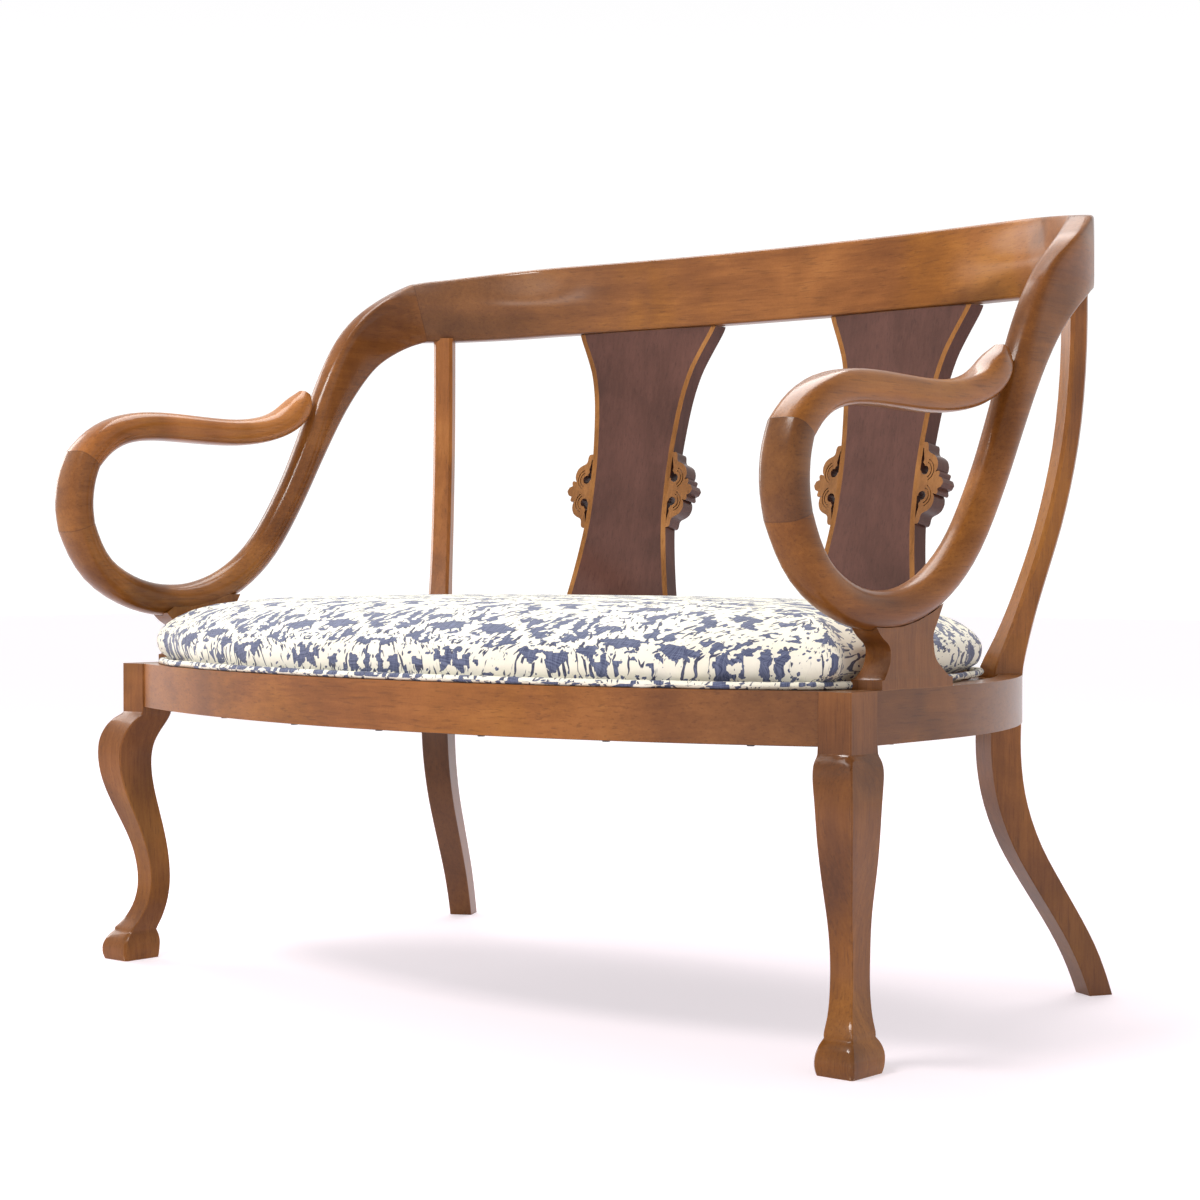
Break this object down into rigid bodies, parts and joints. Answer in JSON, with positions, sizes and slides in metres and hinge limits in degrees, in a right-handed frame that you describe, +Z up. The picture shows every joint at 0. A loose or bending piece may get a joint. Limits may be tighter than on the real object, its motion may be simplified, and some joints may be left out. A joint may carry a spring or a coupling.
{
  "type": "cabriole sofa",
  "caption": "Small open-back sofa with cabriole front legs, looped scroll arms, a bowed crest rail, waisted splats with carved cheeks and an upholstered slip seat.",
  "frame": {"origin": "on the floor, under the middle of the whole object", "axes": "+X along the seat to the sitter's left-hand arm as seen from the front (right in the picture), +Y from front to back, +Z up"},
  "size_m": [1.175, 0.7893, 0.93],
  "materials": {
    "show_wood": "satin, red-brown with golden patches",
    "panel_veneer": "satin, dark mauve-brown",
    "carved_wood": "satin, ochre",
    "inner_wood": "planed, unfinished",
    "webbing": "woven jute",
    "seat_cover": "woven, cream with a slate-blue leaf pattern",
    "dust_cloth": "thin black woven cloth",
    "steel": "plain"
  },
  "bodies": {
    "root": {"front_leg_left": "show_wood", "front_leg_right": "show_wood", "rear_leg_left": "show_wood", "rear_leg_right": "show_wood", "front_seat_rail": "show_wood", "side_seat_rail_left": "show_wood", "side_seat_rail_right": "show_wood", "rear_seat_rail": "show_wood", "crest_rail": "show_wood", "arm_sweep_left": "show_wood", "arm_sweep_right": "show_wood", "arm_front_left": "show_wood", "arm_front_right": "show_wood", "arm_scroll_left": "show_wood", "arm_scroll_right": "show_wood", "arm_pedestal_left": "show_wood", "arm_pedestal_right": "show_wood", "splat_left": "show_wood", "splat_right": "show_wood", "splat_panel_left": "panel_veneer", "splat_panel_right": "panel_veneer", "ornament_left_outer": "carved_wood", "ornament_left_inner": "carved_wood", "ornament_right_inner": "carved_wood", "ornament_right_outer": "carved_wood", "seat_frame": "inner_wood", "seat_webbing_long": "webbing", "seat_webbing_cross": "webbing", "seat_cushion": "seat_cover", "seat_welt": "seat_cover", "corner_blocks_front": "inner_wood", "corner_blocks_rear": "inner_wood", "seat_screws": "steel", "rail_dowels": "inner_wood", "crest_dowels": "inner_wood", "arm_dowels": "inner_wood", "pedestal_dowels": "inner_wood", "dust_cover": "dust_cloth", "dust_cover_tacks": "steel"}
  },
  "joints": []
}
